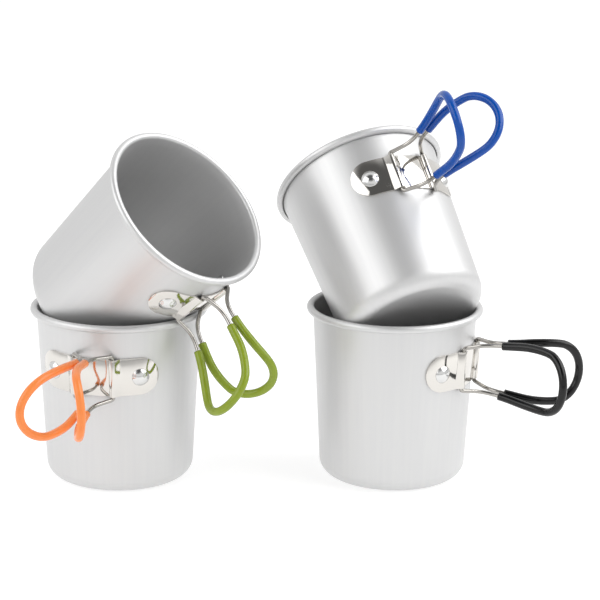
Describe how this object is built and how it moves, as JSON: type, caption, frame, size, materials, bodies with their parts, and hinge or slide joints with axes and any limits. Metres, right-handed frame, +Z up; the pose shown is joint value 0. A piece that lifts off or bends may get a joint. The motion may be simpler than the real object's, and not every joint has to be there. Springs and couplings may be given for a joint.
{
  "type": "cooking pot set",
  "caption": "Set of drawn aluminium camping pots with rolled rims and folding wire loop handles in coloured sleeves, stacked in leaning pairs.",
  "frame": {"origin": "centre of the orange-handled pot's base, on the surface that the set stands on", "axes": "+Z up, +X from the orange-handled pot towards the black-handled one, +Y away from the side that the handles face"},
  "size_m": [0.2688, 0.1651, 0.1959],
  "materials": {
    "cup_aluminium": "satin",
    "bracket_steel": "mirror-polished stainless steel",
    "rivet_aluminium": "polished",
    "wire_steel": "polished stainless steel",
    "grip_orange": "glossy",
    "grip_green": "glossy",
    "grip_black": "glossy",
    "grip_blue": "glossy"
  },
  "bodies": {
    "orange_pot": {"orange_cup": "cup_aluminium", "orange_bracket": "bracket_steel", "orange_rivet_left": "rivet_aluminium", "orange_rivet_right": "rivet_aluminium"},
    "orange_loop_left": {"orange_wire_left": "wire_steel", "orange_grip_left": "grip_orange"},
    "orange_loop_right": {"orange_wire_right": "wire_steel", "orange_grip_right": "grip_orange"},
    "green_pot": {"green_cup": "cup_aluminium", "green_bracket": "bracket_steel", "green_rivet_left": "rivet_aluminium", "green_rivet_right": "rivet_aluminium"},
    "green_loop_left": {"green_wire_left": "wire_steel", "green_grip_left": "grip_green"},
    "green_loop_right": {"green_wire_right": "wire_steel", "green_grip_right": "grip_green"},
    "black_pot": {"black_cup": "cup_aluminium", "black_bracket": "bracket_steel", "black_rivet_left": "rivet_aluminium", "black_rivet_right": "rivet_aluminium"},
    "black_loop_left": {"black_wire_left": "wire_steel", "black_grip_left": "grip_black"},
    "black_loop_right": {"black_wire_right": "wire_steel", "black_grip_right": "grip_black"},
    "blue_pot": {"blue_cup": "cup_aluminium", "blue_bracket": "bracket_steel", "blue_rivet_left": "rivet_aluminium", "blue_rivet_right": "rivet_aluminium"},
    "blue_loop_left": {"blue_wire_left": "wire_steel", "blue_grip_left": "grip_blue"},
    "blue_loop_right": {"blue_wire_right": "wire_steel", "blue_grip_right": "grip_blue"}
  },
  "joints": [
    {"name": "green_pot_lift", "type": "slide", "parent": "orange_pot", "child": "green_pot", "axis": [0, 0, 1], "range_m": [0, 0.12]},
    {"name": "black_pot_shift", "type": "slide", "parent": "orange_pot", "child": "black_pot", "axis": [1, 0, 0], "range_m": [0, 0.1]},
    {"name": "blue_pot_lift", "type": "slide", "parent": "black_pot", "child": "blue_pot", "axis": [0, 0, 1], "range_m": [0, 0.12]},
    {"name": "orange_loop_left_fold", "type": "hinge", "parent": "orange_pot", "child": "orange_loop_left", "pos_m": [-0.01872, -0.03539, 0.05999], "axis": [0.0129, 0.0518, -0.9986], "range_deg": [0, 120]},
    {"name": "orange_loop_right_fold", "type": "hinge", "parent": "orange_pot", "child": "orange_loop_right", "pos_m": [-0.00009, -0.04003, 0.05999], "axis": [-0.0129, -0.0518, 0.9986], "range_deg": [0, 70]},
    {"name": "green_loop_left_fold", "type": "hinge", "parent": "green_pot", "child": "green_loop_left", "pos_m": [0.03625, -0.03631, 0.09409], "axis": [-0.6225, 0.4533, -0.638], "range_deg": [0, 105]},
    {"name": "green_loop_right_fold", "type": "hinge", "parent": "green_pot", "child": "green_loop_right", "pos_m": [0.04722, -0.02056, 0.09459], "axis": [0.6225, -0.4533, 0.638], "range_deg": [0, 58]},
    {"name": "black_loop_left_fold", "type": "hinge", "parent": "black_pot", "child": "black_loop_left", "pos_m": [0.16659, -0.019, 0.05999], "axis": [-0.0493, 0.0205, -0.9986], "range_deg": [0, 120]},
    {"name": "black_loop_right_fold", "type": "hinge", "parent": "black_pot", "child": "black_loop_right", "pos_m": [0.17397, -0.00127, 0.05999], "axis": [0.0493, -0.0205, 0.9986], "range_deg": [0, 120]},
    {"name": "blue_loop_left_fold", "type": "hinge", "parent": "blue_pot", "child": "blue_loop_left", "pos_m": [0.13331, -0.00105, 0.15297], "axis": [0.3009, -0.6286, -0.7172], "range_deg": [0, 125]},
    {"name": "blue_loop_right_fold", "type": "hinge", "parent": "blue_pot", "child": "blue_loop_right", "pos_m": [0.14945, 0.00912, 0.15082], "axis": [-0.3009, 0.6286, 0.7172], "range_deg": [0, 120]}
  ]
}
